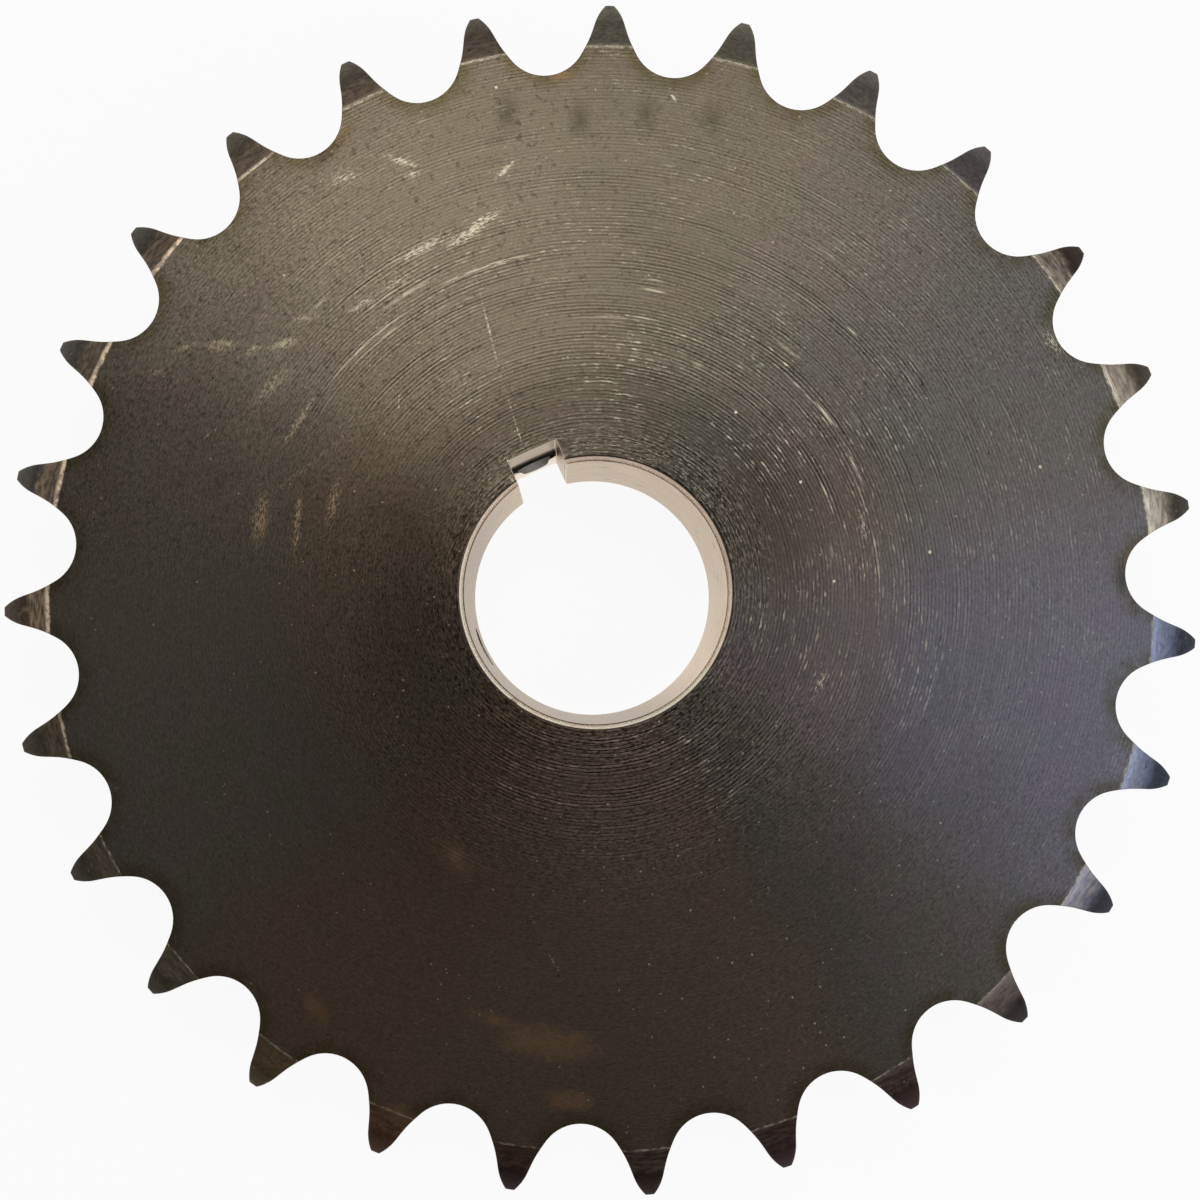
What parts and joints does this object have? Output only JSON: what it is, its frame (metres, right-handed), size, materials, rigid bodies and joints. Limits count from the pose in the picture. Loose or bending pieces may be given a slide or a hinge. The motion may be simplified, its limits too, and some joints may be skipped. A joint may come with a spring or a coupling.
{
  "type": "chain sprocket",
  "caption": "Blackened steel roller-chain sprocket: flat toothed plate with a plain round hub on one side, keyed through bore and set screws in the hub.",
  "frame": {"origin": "on the bore's axis, in the hub's end face, which the sprocket rests on", "axes": "+Z along the bore's axis, from the hub's end to the flat toothed face; +Y through the middle of the keyway; the second set screw is at -X"},
  "size_m": [0.1451, 0.1451, 0.0286],
  "materials": {
    "blackened_steel": "satin",
    "screw_steel": "satin"
  },
  "bodies": {
    "root": {"sprocket": "blackened_steel", "keyway_set_screw": "screw_steel", "side_set_screw": "screw_steel"}
  },
  "joints": []
}
